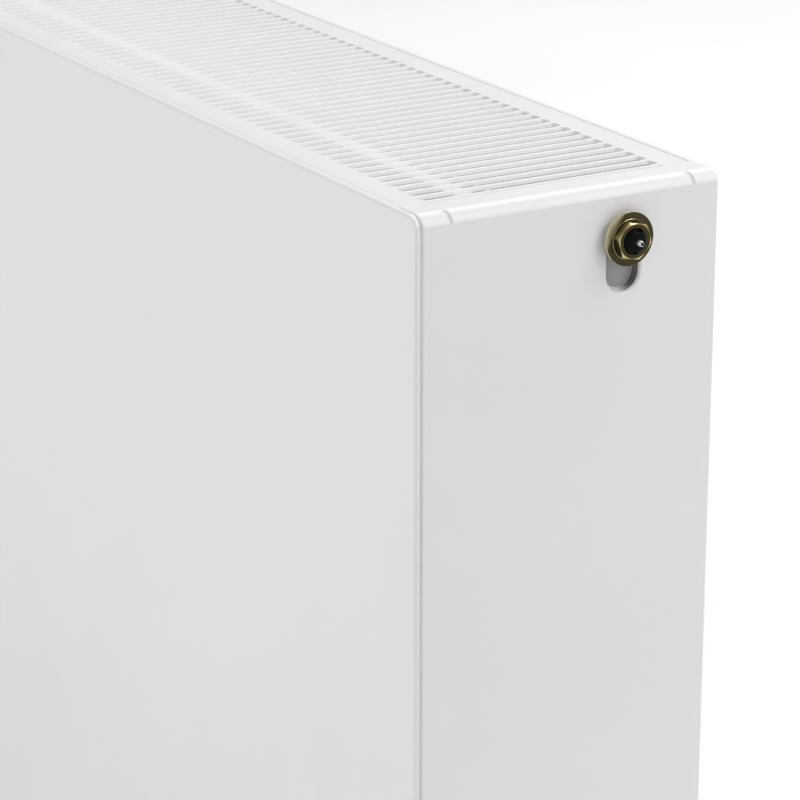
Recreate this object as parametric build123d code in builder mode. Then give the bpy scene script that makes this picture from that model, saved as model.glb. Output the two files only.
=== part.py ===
from math import cos, radians, sin, sqrt
from build123d import *
import os

# Flat-front steel panel radiator, type 33 (three water panels, three convectors), with a
# built-in thermostatic valve insert at the upper right and two bottom connections.
# Frame: +X along the length towards the valve, +Y from the front towards the wall, +Z up.
# Origin: the middle of the bounding box, at the bottom. All lengths are in millimetres.

# ---- driving dimensions -------------------------------------------------------------------
LENGTH = 1000.0
HEIGHT = 600.0
CASING_DEPTH = 155.0
PLATE_DEPTH = 2.6
PLATE_GAP = 0.4
LUG_STAND = 8.0
VALVE_REACH = 14.4

X_RIGHT = (LENGTH - VALVE_REACH) / 2
X_LEFT = X_RIGHT - LENGTH
X_MID = (X_LEFT + X_RIGHT) / 2
Y_PLATE = -(PLATE_DEPTH + PLATE_GAP + CASING_DEPTH + LUG_STAND) / 2
Y_FRONT = Y_PLATE + PLATE_DEPTH + PLATE_GAP
Y_REAR = Y_FRONT + CASING_DEPTH

# Water panels: two pressed sheets each, joined at the rim and at the valleys.
SHEET = 1.25
PANEL_INSET = 14.0
PANEL_TOP = HEIGHT - 0.25
MIDDLE_PANEL_TOP = HEIGHT - 3.8
PANEL_THICK = 13.5
RIM = 6.0
RIM_STEP = 1.85
RIM_CORNER_R = 3.0
DRAW_CORNER_R = 9.0
DRAW_TAPER = 25
CHANNEL_PITCH = 100 / 3
VALLEY_COUNT = 28
VALLEY_WIDTH = 12.0
VALLEY_DEPTH = 5.5
VALLEY_TAPER = 30
HEADER = 46.0

# Valve axis and the four corner connections, which sit between the middle and rear panels.
VALVE_DROP = 23.6
VALVE_BACK = 50.8
Y_VALVE = Y_REAR - VALVE_BACK
Z_VALVE = HEIGHT - VALVE_DROP
Z_LOWER = 34.0
TEE_INSET = 38.0
CROSS_R = 11.0
CROSS_BORE_R = 8.0
G12_MINOR_R = 9.3
THREAD_CLEAR = 0.05
SOCKET_SPACING = 50.0
SOCKET_BOTTOM = 6.0
SOCKET_DEPTH = 15.0

# The middle panel stands as far in front of the valve axis as the rear panel is behind it.
Y_REAR_CREST = Y_REAR - PANEL_THICK
Y_MID_CREST = 2 * Y_VALVE - Y_REAR_CREST
Y_MID = Y_MID_CREST - PANEL_THICK
Y_FRONT_CREST = Y_FRONT + PANEL_THICK

# Convectors: thin corrugated sheets welded to the channel crests.
CONVECTOR_SHEET = 0.8
CONVECTOR_FLAT = 8.0
CONVECTOR_WAVES = 24
CONVECTOR_Z0 = 50.0
CONVECTOR_HEIGHT = 500.0
CONVECTOR_DEEP = 34.0
CONVECTOR_SHALLOW = 36.0

# Side casings.
CASING_SHEET = 1.2
CASING_BEND = 8.0
BEND_MIDDLE = radians(56)
BEND_SIDE_END = 4.83
CASING_TOP_FLANGE = 19.0
CASING_SIDE_FLANGE = 12.0
CASING_BOTTOM = 1.0
CASING_EDGE_FRONT = 1.8
CASING_EDGE_REAR = 1.5
SLOT_WIDTH = 18.0
SLOT_CENTRES = 17.0
COLLAR_DEPTH = 5.0
COLLAR_TAPER = 18.8
COLLAR_WALL = CASING_SHEET / 0.947  # the cosine of the taper
SLOT_EDGE = 1.5
DIMPLE_R = 2.2
DIMPLE_SINK = 0.8
DIMPLE_FRONT = 14.3
DIMPLE_REAR = 140.5
DIMPLE_START = 69
DIMPLE_END = 32.5

# Top grille.
GRILLE_SHEET = 1.8
GRILLE_TOP = HEIGHT - 0.1
GRILLE_INSET = CASING_TOP_FLANGE + 0.3
GRILLE_Y0 = Y_FRONT + SHEET + 0.25
GRILLE_Y1 = Y_FRONT + 149.9
GRILLE_LEDGE = 2.3
GRILLE_LEDGE_DROP = 0.35
GRILLE_LIP = 3.5
GRILLE_LIP_SHEET = 1.2
GRILLE_SLOTS = 110
GRILLE_END_SLOT = 18.15
GRILLE_SLOT_WIDTH = 6.9
GRILLE_SLOT_Y0 = Y_FRONT + 14.5
GRILLE_SLOT_Y1 = Y_FRONT + 138.3
GRILLE_SLOT_CORNER = 2.2

os.makedirs("parts", exist_ok=True)


def save(piece, label):
    """Name a finished piece and write its STEP file."""
    piece.label = label
    export_step(piece, f"parts/{label}.step")


def wall_plane(y, toward_rear=True):
    """A vertical plane across the depth: local x along the length, local y up."""
    if toward_rear:
        return Plane(origin=(0, y, 0), x_dir=(-1, 0, 0), z_dir=(0, 1, 0))
    return Plane(origin=(0, y, 0), x_dir=(1, 0, 0), z_dir=(0, -1, 0))


def end_plane(x, y, z, outward=1):
    """A plane across the length; its normal points along +X or, with outward -1, along -X."""
    return Plane(origin=(x, y, z), x_dir=(0, outward, 0), z_dir=(outward, 0, 0))


def spin_plane(x0, outward, y, z):
    """Profile plane for turned parts: local x runs along the turning axis, local y is the radius."""
    return Plane(origin=(x0, y, z), x_dir=(outward, 0, 0), z_dir=(0, -outward, 0))


# ---- front plate: a shallow folded tray in front of the front panel ------------------------
PLATE_SHEET = 1.2
PLATE_EDGE = 1.3
PLATE_CORNER = 7.0
with BuildPart() as front_plate:
    with BuildSketch(wall_plane(Y_FRONT - PLATE_GAP, toward_rear=False)):
        with Locations((X_MID, HEIGHT / 2)):
            RectangleRounded(LENGTH, HEIGHT, PLATE_CORNER)
    extrude(amount=PLATE_DEPTH)
    fillet(front_plate.faces().sort_by(Axis.Y)[0].edges(), PLATE_EDGE)
    with BuildSketch(wall_plane(Y_FRONT - PLATE_GAP, toward_rear=False)):
        with Locations((X_MID, HEIGHT / 2)):
            RectangleRounded(LENGTH - 2 * PLATE_SHEET, HEIGHT - 2 * PLATE_SHEET, PLATE_CORNER - PLATE_SHEET)
    extrude(amount=PLATE_DEPTH - PLATE_SHEET, mode=Mode.SUBTRACT)
save(front_plate.part, "front_plate")

# Foam strips hold the plate off the channel crests of the front panel.
with BuildPart() as plate_pads:
    with BuildSketch(wall_plane(Y_FRONT, toward_rear=False)):
        with Locations((X_MID, HEIGHT / 2)):
            with GridLocations(9 * CHANNEL_PITCH, 0, 4, 1):
                Rectangle(10, 420)
    extrude(amount=PLATE_GAP + PLATE_DEPTH - PLATE_SHEET)
save(plate_pads.part, "plate_pads")


# ---- water panels ---------------------------------------------------------------------------
PANEL_LENGTH = LENGTH - 2 * PANEL_INSET
WALL_OFFSET = SHEET / 0.866  # the cosine of the valley taper
POCKET_OFFSET = SHEET / 0.906  # the cosine of the draw taper


def corner_ports():
    """Panel-plane positions of the openings to the corner connections."""
    ports = []
    for x in (X_LEFT + TEE_INSET, X_RIGHT - TEE_INSET):
        for z in (Z_LOWER, Z_VALVE):
            ports.append((x, z))
    return ports


def valley_slots(z_mid, length, width, mirrored):
    """One row of upright slots, the weld zones between the water channels."""
    sign = -1 if mirrored else 1
    with Locations((sign * X_MID, z_mid)):
        with GridLocations(CHANNEL_PITCH, 0, VALLEY_COUNT, 1):
            SlotOverall(length, width, rotation=90)


def port_circles(mirrored):
    """The corner openings of one sheet."""
    sign = -1 if mirrored else 1
    for x, z in corner_ports():
        with Locations((sign * x, z)):
            Circle(CROSS_BORE_R)


def outer_sheet(y0, inward, top, drilled, step_length):
    """The sheet whose rim and crests lie in one plane; its valleys are pressed inward.

    The rim is stepped down over step_length from each side plane."""
    mirrored = inward > 0
    sign = -1 if mirrored else 1
    plane = wall_plane(y0, toward_rear=mirrored)
    valley_length = top - 2 * HEADER
    with BuildPart() as sheet:
        with BuildSketch(plane):
            with Locations((sign * X_MID, top / 2)):
                RectangleRounded(PANEL_LENGTH, top, RIM_CORNER_R)
        extrude(amount=SHEET)
        with BuildSketch(plane):
            valley_slots(top / 2, valley_length + 2 * WALL_OFFSET, VALLEY_WIDTH + 2 * WALL_OFFSET, mirrored)
        extrude(amount=VALLEY_DEPTH + SHEET, taper=VALLEY_TAPER)
        with BuildSketch(plane):
            valley_slots(top / 2, valley_length, VALLEY_WIDTH, mirrored)
        extrude(amount=VALLEY_DEPTH, taper=VALLEY_TAPER, mode=Mode.SUBTRACT)
        if drilled:
            with BuildSketch(plane):
                port_circles(mirrored)
            extrude(amount=SHEET, mode=Mode.SUBTRACT)
        with Locations((X_LEFT, y0, top), (X_RIGHT, y0, top)):
            Box(2 * step_length, 4 * SHEET, 2 * RIM_STEP, mode=Mode.SUBTRACT)
    return sheet.part


def inner_sheet(y0, inward, top, drilled, step_length):
    """The deep-drawn sheet: rim on the seam, crests at the full panel thickness.

    The rim is stepped down over step_length from each side plane."""
    mirrored = inward > 0
    sign = -1 if mirrored else 1
    seam = wall_plane(y0 + inward * SHEET, toward_rear=mirrored)
    crest = wall_plane(y0 + inward * PANEL_THICK, toward_rear=not mirrored)
    draw = PANEL_THICK - SHEET
    valley_length = top - 2 * HEADER
    with BuildPart() as sheet:
        with BuildSketch(seam):
            with Locations((sign * X_MID, top / 2)):
                RectangleRounded(PANEL_LENGTH, top, RIM_CORNER_R)
        extrude(amount=SHEET)
        with BuildSketch(seam):
            with Locations((sign * X_MID, top / 2)):
                RectangleRounded(PANEL_LENGTH - 2 * RIM, top - 2 * RIM, DRAW_CORNER_R)
        extrude(amount=draw, taper=DRAW_TAPER)
        with BuildSketch(seam):
            with Locations((sign * X_MID, top / 2)):
                RectangleRounded(
                    PANEL_LENGTH - 2 * (RIM + POCKET_OFFSET),
                    top - 2 * (RIM + POCKET_OFFSET),
                    DRAW_CORNER_R - POCKET_OFFSET,
                )
        extrude(amount=draw - SHEET, taper=DRAW_TAPER, mode=Mode.SUBTRACT)
        with BuildSketch(crest):
            valley_slots(top / 2, valley_length + 2 * WALL_OFFSET, VALLEY_WIDTH + 2 * WALL_OFFSET, not mirrored)
        extrude(amount=PANEL_THICK - VALLEY_DEPTH - SHEET, taper=VALLEY_TAPER)
        with BuildSketch(crest):
            valley_slots(top / 2, valley_length, VALLEY_WIDTH, not mirrored)
        extrude(amount=VALLEY_DEPTH, taper=VALLEY_TAPER, mode=Mode.SUBTRACT)
        if drilled:
            with BuildSketch(crest):
                port_circles(not mirrored)
            extrude(amount=SHEET, mode=Mode.SUBTRACT)
        with Locations((X_LEFT, y0, top), (X_RIGHT, y0, top)):
            Box(2 * step_length, 4 * SHEET, 2 * RIM_STEP, mode=Mode.SUBTRACT)
    return sheet.part


# The rims stop short under the casing flanges, and the front inner one under the grille too.
UNDER_FLANGE = CASING_TOP_FLANGE + 0.2
UNDER_GRILLE = LENGTH / 2 + 1
save(outer_sheet(Y_FRONT, 1, PANEL_TOP, False, UNDER_FLANGE), "front_panel_outer")
save(inner_sheet(Y_FRONT, 1, PANEL_TOP, True, UNDER_GRILLE), "front_panel_inner")
save(outer_sheet(Y_MID, 1, MIDDLE_PANEL_TOP, True, UNDER_FLANGE), "middle_panel_outer")
save(inner_sheet(Y_MID, 1, MIDDLE_PANEL_TOP, True, UNDER_FLANGE), "middle_panel_inner")
save(inner_sheet(Y_REAR, -1, PANEL_TOP, True, UNDER_FLANGE), "rear_panel_inner")
save(outer_sheet(Y_REAR, -1, PANEL_TOP, False, UNDER_FLANGE), "rear_panel_outer")


# ---- convectors -----------------------------------------------------------------------------
def convector(y_base, y_tip):
    """A trapezoidal wave of thin sheet between two depths."""
    half = CONVECTOR_SHEET / 2
    toward = 1 if y_tip > y_base else -1
    low = y_base + toward * half
    high = y_tip - toward * half
    ramp = CHANNEL_PITCH / 2 - CONVECTOR_FLAT
    start = X_MID - 25 - CONVECTOR_WAVES * CHANNEL_PITCH / 2
    points = []
    for wave in range(CONVECTOR_WAVES):
        x = start + wave * CHANNEL_PITCH
        points.append((x, low))
        points.append((x + CONVECTOR_FLAT, low))
        points.append((x + CONVECTOR_FLAT + ramp, high))
        points.append((x + 2 * CONVECTOR_FLAT + ramp, high))
    with BuildPart() as fins:
        with BuildSketch(Plane.XY.offset(CONVECTOR_Z0)):
            with BuildLine():
                Polyline(*points)
            trace(line_width=CONVECTOR_SHEET)
        extrude(amount=CONVECTOR_HEIGHT)
    return fins.part


save(convector(Y_FRONT_CREST, Y_FRONT_CREST + CONVECTOR_SHALLOW), "front_convector")
save(convector(Y_MID_CREST, Y_MID_CREST + CONVECTOR_DEEP), "middle_convector")
save(convector(Y_REAR_CREST, Y_REAR_CREST - CONVECTOR_DEEP), "rear_convector")


# ---- top grille -----------------------------------------------------------------------------
GRILLE_PITCH = (LENGTH - 2 * GRILLE_END_SLOT) / (GRILLE_SLOTS - 1)
GRILLE_LENGTH = LENGTH - 2 * GRILLE_INSET
GRILLE_UNDER = GRILLE_TOP - GRILLE_SHEET
ledge_top = GRILLE_TOP - GRILLE_LEDGE_DROP
front_lip_y = Y_FRONT + 2 * SHEET + 0.5 + GRILLE_LIP_SHEET / 2
rear_lip_y = GRILLE_Y1 + GRILLE_LEDGE - GRILLE_LIP_SHEET / 2
with BuildPart() as top_grille:
    with BuildSketch(Plane.XY.offset(GRILLE_TOP)):
        with Locations((X_MID, (GRILLE_Y0 + GRILLE_Y1) / 2)):
            Rectangle(GRILLE_LENGTH, GRILLE_Y1 - GRILLE_Y0)
    extrude(amount=-GRILLE_SHEET)
    # A narrow ledge closes the gap to the rear panel, and both long edges have a lip.
    with BuildSketch(Plane.XY.offset(ledge_top)):
        with Locations((X_MID, GRILLE_Y1)):
            Rectangle(GRILLE_LENGTH, 2 * GRILLE_LEDGE)
    extrude(amount=GRILLE_UNDER - ledge_top)
    with BuildSketch(Plane.XY.offset(GRILLE_UNDER)):
        for y in (front_lip_y, rear_lip_y):
            with Locations((X_MID, y)):
                Rectangle(GRILLE_LENGTH, GRILLE_LIP_SHEET)
    extrude(amount=-GRILLE_LIP)
    with BuildSketch(Plane.XY.offset(GRILLE_TOP)):
        with Locations((X_MID, (GRILLE_SLOT_Y0 + GRILLE_SLOT_Y1) / 2)):
            with GridLocations(GRILLE_PITCH, 0, GRILLE_SLOTS, 1):
                RectangleRounded(GRILLE_SLOT_WIDTH, GRILLE_SLOT_Y1 - GRILLE_SLOT_Y0, GRILLE_SLOT_CORNER)
    extrude(amount=-GRILLE_SHEET, mode=Mode.SUBTRACT)
save(top_grille.part, "top_grille")

# A flat strap spot-welded under the bars keeps the grille from sagging.
STRAP_Y0 = Y_FRONT + 34.1
STRAP_WIDTH = 8.9
STRAP_THICK = 1.0
STRAP_INSET = 4.0
with BuildPart() as grille_strap:
    with BuildSketch(Plane.XY.offset(GRILLE_UNDER)):
        with Locations((X_MID, STRAP_Y0 + STRAP_WIDTH / 2)):
            Rectangle(GRILLE_LENGTH - 2 * STRAP_INSET, STRAP_WIDTH)
    extrude(amount=-STRAP_THICK)
save(grille_strap.part, "grille_strap")


# ---- side casings ---------------------------------------------------------------------------
# The top bend is tangent to the top and meets the side at a slight crease.
bend_z = HEIGHT - CASING_BEND
bend_x = X_RIGHT - sqrt(CASING_BEND**2 - (CASING_BEND - BEND_SIDE_END) ** 2)


def bend_points(inset):
    """Start, middle and end of the top bend, inset from the outside of the sheet."""
    radius = CASING_BEND - inset
    end_x = X_RIGHT - inset
    end_z = bend_z + sqrt(radius**2 - (end_x - bend_x) ** 2)
    middle = (bend_x + radius * cos(BEND_MIDDLE), bend_z + radius * sin(BEND_MIDDLE))
    return (bend_x, HEIGHT - inset), middle, (end_x, end_z)


def on_outline(edge):
    """True for the outer edges of the casing's front or rear face: the side, the bend and the top."""
    middle = edge @ 0.5
    on_side = abs(middle.X - X_RIGHT) < 0.01
    on_top = abs(middle.Z - HEIGHT) < 0.01
    reach = ((middle.X - bend_x) ** 2 + (middle.Z - bend_z) ** 2) ** 0.5
    on_bend = abs(reach - CASING_BEND) < 0.05 and middle.Z > bend_z
    return on_side or on_top or on_bend


casing_mid_y = (Y_FRONT + Y_REAR) / 2
casing_mid_z = (HEIGHT + CASING_BOTTOM) / 2
casing_trim = CASING_TOP_FLANGE - CASING_SIDE_FLANGE
flange_x = X_RIGHT - CASING_TOP_FLANGE
with BuildPart() as right_side_casing:
    outer_start, outer_middle, outer_end = bend_points(0)
    with BuildSketch(wall_plane(Y_FRONT, toward_rear=False)):
        with BuildLine():
            outer_foot = (X_RIGHT, CASING_BOTTOM)
            Polyline(outer_end, outer_foot, (flange_x, CASING_BOTTOM), (flange_x, HEIGHT), outer_start)
            ThreePointArc(outer_start, outer_middle, outer_end)
        make_face()
    extrude(amount=-CASING_DEPTH)
    # Rounded outer edges along the front and the rear.
    rear_face = right_side_casing.faces().filter_by(Axis.Y).sort_by(Axis.Y)[-1]
    fillet(rear_face.edges().filter_by(on_outline), CASING_EDGE_REAR)
    front_face = right_side_casing.faces().filter_by(Axis.Y).sort_by(Axis.Y)[0]
    fillet(front_face.edges().filter_by(on_outline), CASING_EDGE_FRONT)
    # Hollow the block: open to the inside and at the bottom.
    inner_start, inner_middle, inner_end = bend_points(CASING_SHEET)
    inner_top = HEIGHT - CASING_SHEET
    with BuildSketch(wall_plane(Y_FRONT + CASING_SHEET, toward_rear=False)):
        with BuildLine():
            inner_foot = (X_RIGHT - CASING_SHEET, 0)
            Polyline(inner_end, inner_foot, (flange_x, 0), (flange_x, inner_top), inner_start)
            ThreePointArc(inner_start, inner_middle, inner_end)
        make_face()
    extrude(amount=2 * CASING_SHEET - CASING_DEPTH, mode=Mode.SUBTRACT)
    # The front and rear folds are narrower than the top one.
    with Locations(
        (X_RIGHT - CASING_SIDE_FLANGE - casing_trim / 2, casing_mid_y, casing_mid_z - CASING_SHEET)
    ):
        Box(casing_trim, CASING_DEPTH, HEIGHT - CASING_BOTTOM, mode=Mode.SUBTRACT)
    # Tapered collar round the upright slot; the slot lets the casing lift past the valve neck.
    slot_plane = end_plane(X_RIGHT, Y_VALVE, Z_VALVE - SLOT_CENTRES / 2)
    with BuildSketch(slot_plane):
        SlotCenterToCenter(SLOT_CENTRES, SLOT_WIDTH + 2 * COLLAR_WALL, rotation=90)
    extrude(amount=-COLLAR_DEPTH, taper=COLLAR_TAPER)
    with BuildSketch(slot_plane):
        SlotCenterToCenter(SLOT_CENTRES, SLOT_WIDTH, rotation=90)
    extrude(amount=-COLLAR_DEPTH, taper=COLLAR_TAPER, mode=Mode.SUBTRACT)
    slot_rim = right_side_casing.faces().filter_by(Axis.X).sort_by(Axis.X)[-1].inner_wires()[0].edges()
    fillet(slot_rim, SLOT_EDGE)
    # Pressed snap dimples over the top bend: a rounded tool follows the bend at a fixed sink.
    lift = DIMPLE_R - DIMPLE_SINK
    for y in (Y_FRONT + DIMPLE_FRONT, Y_FRONT + DIMPLE_REAR):
        with BuildLine(wall_plane(y, toward_rear=False)) as tool_path:
            CenterArc((bend_x, bend_z), CASING_BEND + lift, DIMPLE_START, DIMPLE_END - DIMPLE_START)
        tool_start = tool_path.line @ 0
        with BuildSketch(Plane(origin=tool_start, x_dir=(0, 1, 0), z_dir=tool_path.line % 0)):
            Circle(DIMPLE_R)
        sweep(path=tool_path.line, mode=Mode.SUBTRACT)
        with Locations(tool_start, tool_path.line @ 1):
            Sphere(DIMPLE_R, mode=Mode.SUBTRACT)
save(right_side_casing.part, "right_side_casing")

with BuildPart() as left_side_casing:
    add(mirror(right_side_casing.part, about=Plane.YZ.offset(X_MID), mode=Mode.PRIVATE))
save(left_side_casing.part, "left_side_casing")


# ---- corner connections -----------------------------------------------------------------------
TEE_BOSS_R = 12.5
TEE_FACE = 12.0
PLUG_THREAD = 12.0
CROSS_LENGTH = Y_REAR_CREST - Y_MID_CREST
SOCKET_R = 13.0
RISER_R = 7.0
RISER_BORE_R = 5.5


def turned(points, x_face, outward, z):
    """A solid of revolution about an axis along the length, at the connection depth.

    Each point is (distance outward from the side plane, radius)."""
    with BuildPart() as body:
        with BuildSketch(spin_plane(x_face, outward, Y_VALVE, z)):
            with BuildLine():
                Polyline(*points, close=True)
            make_face()
        revolve(axis=Axis((x_face, Y_VALVE, z), (outward, 0, 0)))
    return body.part


def plain_tee(x_face, outward, z, socket_below):
    """A cross tube between the middle and rear panels with a threaded boss towards the end."""
    x_cross = x_face - outward * TEE_INSET
    boss = end_plane(x_face - outward * TEE_FACE, Y_VALVE, z, outward)
    with BuildPart() as tee:
        with BuildSketch(wall_plane(Y_MID_CREST)):
            with Locations((-x_cross, z)):
                Circle(CROSS_R)
        extrude(amount=CROSS_LENGTH)
        with BuildSketch(boss):
            Circle(TEE_BOSS_R)
        extrude(amount=TEE_FACE - TEE_INSET)
        if socket_below:
            with BuildSketch(Plane.XY.offset(SOCKET_BOTTOM)):
                with Locations((x_cross, Y_VALVE)):
                    Circle(SOCKET_R)
            extrude(amount=z - SOCKET_BOTTOM)
        with BuildSketch(wall_plane(Y_MID_CREST)):
            with Locations((-x_cross, z)):
                Circle(CROSS_BORE_R)
        extrude(amount=CROSS_LENGTH, mode=Mode.SUBTRACT)
        with BuildSketch(boss):
            Circle(CROSS_BORE_R)
        extrude(amount=TEE_FACE - TEE_INSET, mode=Mode.SUBTRACT)
        with BuildSketch(boss):
            Circle(G12_MINOR_R)
        extrude(amount=-PLUG_THREAD, mode=Mode.SUBTRACT)
        if socket_below:
            with BuildSketch(Plane.XY.offset(SOCKET_BOTTOM)):
                with Locations((x_cross, Y_VALVE)):
                    Circle(G12_MINOR_R)
            extrude(amount=SOCKET_DEPTH, mode=Mode.SUBTRACT)
            with BuildSketch(Plane.XY.offset(SOCKET_BOTTOM)):
                with Locations((x_cross, Y_VALVE)):
                    Circle(RISER_BORE_R)
            extrude(amount=z - SOCKET_BOTTOM, mode=Mode.SUBTRACT)
    return tee.part


X_RETURN = X_RIGHT - TEE_INSET
X_SUPPLY = X_RETURN - SOCKET_SPACING
SUPPLY_TOP = 40.0

save(plain_tee(X_LEFT, -1, Z_VALVE, False), "vent_tee")
save(plain_tee(X_LEFT, -1, Z_LOWER, False), "drain_tee")
save(plain_tee(X_RIGHT, 1, Z_LOWER, True), "return_tee")

# Short tubes carry the four corners through to the front panel.
with BuildPart() as front_cross_tubes:
    with BuildSketch(wall_plane(Y_FRONT_CREST)):
        for x, z in corner_ports():
            with Locations((-x, z)):
                Circle(CROSS_R)
                Circle(CROSS_BORE_R, mode=Mode.SUBTRACT)
    extrude(amount=Y_MID - Y_FRONT_CREST)
save(front_cross_tubes.part, "front_cross_tubes")

# Supply socket and the riser that takes the supply up to the valve.
with BuildPart() as supply_socket:
    with BuildSketch(Plane.XY.offset(SOCKET_BOTTOM)):
        with Locations((X_SUPPLY, Y_VALVE)):
            Circle(SOCKET_R)
    extrude(amount=SUPPLY_TOP - SOCKET_BOTTOM)
    with BuildSketch(Plane.XY.offset(SOCKET_BOTTOM)):
        with Locations((X_SUPPLY, Y_VALVE)):
            Circle(RISER_BORE_R)
    extrude(amount=SUPPLY_TOP - SOCKET_BOTTOM, mode=Mode.SUBTRACT)
    with BuildSketch(Plane.XY.offset(SOCKET_BOTTOM)):
        with Locations((X_SUPPLY, Y_VALVE)):
            Circle(G12_MINOR_R)
    extrude(amount=SOCKET_DEPTH, mode=Mode.SUBTRACT)
save(supply_socket.part, "supply_socket")

VALVE_FACE = 5.3
VALVE_TEE_END = 56.0
RISER_ELBOW = 20.0
with BuildPart() as riser_pipe:
    with BuildLine(Plane(origin=(0, Y_VALVE, 0), x_dir=(1, 0, 0), z_dir=(0, -1, 0))) as riser_path:
        FilletPolyline(
            (X_SUPPLY, SUPPLY_TOP),
            (X_SUPPLY, Z_VALVE),
            (X_RIGHT - VALVE_TEE_END, Z_VALVE),
            radius=RISER_ELBOW,
        )
    with BuildSketch(Plane.XY.offset(SUPPLY_TOP)):
        with Locations((X_SUPPLY, Y_VALVE)):
            Circle(RISER_R)
            Circle(RISER_BORE_R, mode=Mode.SUBTRACT)
    sweep(path=riser_path.line)
save(riser_pipe.part, "riser_pipe")

# A strap holds the two bottom sockets at their standard spacing.
BRACKET_Z = 12.0
BRACKET_THICK = 3.0
BRACKET_MARGIN = 18.0
with BuildPart() as connection_bracket:
    with BuildSketch(Plane.XY.offset(BRACKET_Z)):
        with Locations(((X_SUPPLY + X_RETURN) / 2, Y_VALVE)):
            RectangleRounded(SOCKET_SPACING + 2 * BRACKET_MARGIN, 2 * BRACKET_MARGIN, 6)
            with GridLocations(SOCKET_SPACING, 0, 2, 1):
                Circle(SOCKET_R + THREAD_CLEAR, mode=Mode.SUBTRACT)
    extrude(amount=BRACKET_THICK)
save(connection_bracket.part, "connection_bracket")


# ---- valve tee: cross tube, insert boss, seat and the flange behind the casing slot --------------
INSERT_BORE_R = 7.0
VALVE_BOSS_R = 12.0
SEAT_FACE = 46.0
SEAT_WALL = 46.5
ORIFICE_R = 3.5
FLANGE_DROP = 19.0
FLANGE_WIDTH = 26.0
with BuildPart() as valve_tee:
    with BuildSketch(wall_plane(Y_MID_CREST)):
        with Locations((-(X_RIGHT - TEE_INSET), Z_VALVE)):
            Circle(CROSS_R)
    extrude(amount=CROSS_LENGTH)
    with BuildSketch(end_plane(X_RIGHT - VALVE_FACE, Y_VALVE, Z_VALVE)):
        Circle(VALVE_BOSS_R)
    extrude(amount=VALVE_FACE - VALVE_TEE_END)
    with BuildSketch(end_plane(X_RIGHT - VALVE_FACE, Y_VALVE, Z_VALVE - FLANGE_DROP / 2)):
        SlotCenterToCenter(FLANGE_DROP, FLANGE_WIDTH, rotation=90)
    extrude(amount=-3)
    with BuildSketch(wall_plane(Y_MID_CREST)):
        with Locations((-(X_RIGHT - TEE_INSET), Z_VALVE)):
            Circle(CROSS_BORE_R)
    extrude(amount=CROSS_LENGTH, mode=Mode.SUBTRACT)
    with BuildSketch(end_plane(X_RIGHT - VALVE_FACE, Y_VALVE, Z_VALVE)):
        Circle(INSERT_BORE_R)
    extrude(amount=VALVE_FACE - SEAT_WALL, mode=Mode.SUBTRACT)
    with BuildSketch(end_plane(X_RIGHT - SEAT_WALL, Y_VALVE, Z_VALVE)):
        Circle(ORIFICE_R + 0.8)
    extrude(amount=SEAT_WALL - SEAT_FACE)
    with BuildSketch(end_plane(X_RIGHT - SEAT_FACE, Y_VALVE, Z_VALVE)):
        Circle(ORIFICE_R)
    extrude(amount=SEAT_FACE - VALVE_TEE_END, mode=Mode.SUBTRACT)
    with BuildSketch(end_plane(X_RIGHT - VALVE_TEE_END, Y_VALVE, Z_VALVE)):
        Circle(RISER_BORE_R)
    extrude(amount=6, mode=Mode.SUBTRACT)
save(valve_tee.part, "valve_tee")


# ---- blanking plugs and the vent ------------------------------------------------------------------
WASHER = 1.5
PLUG_FLANGE_R = 12.5
PLUG_R = G12_MINOR_R - THREAD_CLEAR
washer_profile = [
    (-TEE_FACE, G12_MINOR_R + 0.1),
    (-TEE_FACE, PLUG_FLANGE_R - 0.5),
    (-TEE_FACE + WASHER, PLUG_FLANGE_R - 0.5),
    (-TEE_FACE + WASHER, G12_MINOR_R + 0.1),
]
plug_profile = [
    (-TEE_FACE - 9, 0),
    (-TEE_FACE - 9, PLUG_R),
    (-TEE_FACE + WASHER, PLUG_R),
    (-TEE_FACE + WASHER, PLUG_FLANGE_R),
    (-TEE_FACE + WASHER + 3, PLUG_FLANGE_R),
    (-TEE_FACE + WASHER + 3, 0),
]
ENDS_BELOW = ((X_LEFT, -1), (X_RIGHT, 1))

with BuildPart() as plug_washers:
    for x_face, outward in ENDS_BELOW:
        add(turned(washer_profile, x_face, outward, Z_LOWER))
save(plug_washers.part, "plug_washers")

with BuildPart() as blanking_plugs:
    for x_face, outward in ENDS_BELOW:
        add(turned(plug_profile, x_face, outward, Z_LOWER))
        with BuildSketch(end_plane(x_face - outward * (TEE_FACE - WASHER - 3), Y_VALVE, Z_LOWER, outward)):
            RegularPolygon(5, 6, major_radius=False)
        extrude(amount=-8, mode=Mode.SUBTRACT)
save(blanking_plugs.part, "blanking_plugs")

save(turned(washer_profile, X_LEFT, -1, Z_VALVE), "vent_washer")

VENT_NECK_R = 4.5
VENT_BORE_R = 2.6
BLEED_R = 2.5
vent_profile = [
    (-22, 1.2),
    (-22, PLUG_R),
    (-TEE_FACE + WASHER, PLUG_R),
    (-TEE_FACE + WASHER, PLUG_FLANGE_R),
    (-8, PLUG_FLANGE_R),
    (-8, VENT_NECK_R),
    (-3.4, VENT_NECK_R),
    (-3.4, VENT_BORE_R),
    (-12, VENT_BORE_R),
    (-13.4, 1.2),
]
with BuildPart() as vent_plug:
    add(turned(vent_profile, X_LEFT, -1, Z_VALVE))
    with BuildSketch(Plane(origin=(X_LEFT + 6, Y_VALVE, Z_VALVE), x_dir=(1, 0, 0), z_dir=(0, 0, -1))):
        Circle(0.8)
    extrude(amount=VENT_NECK_R + 1, mode=Mode.SUBTRACT)
save(vent_plug.part, "vent_plug")

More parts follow.
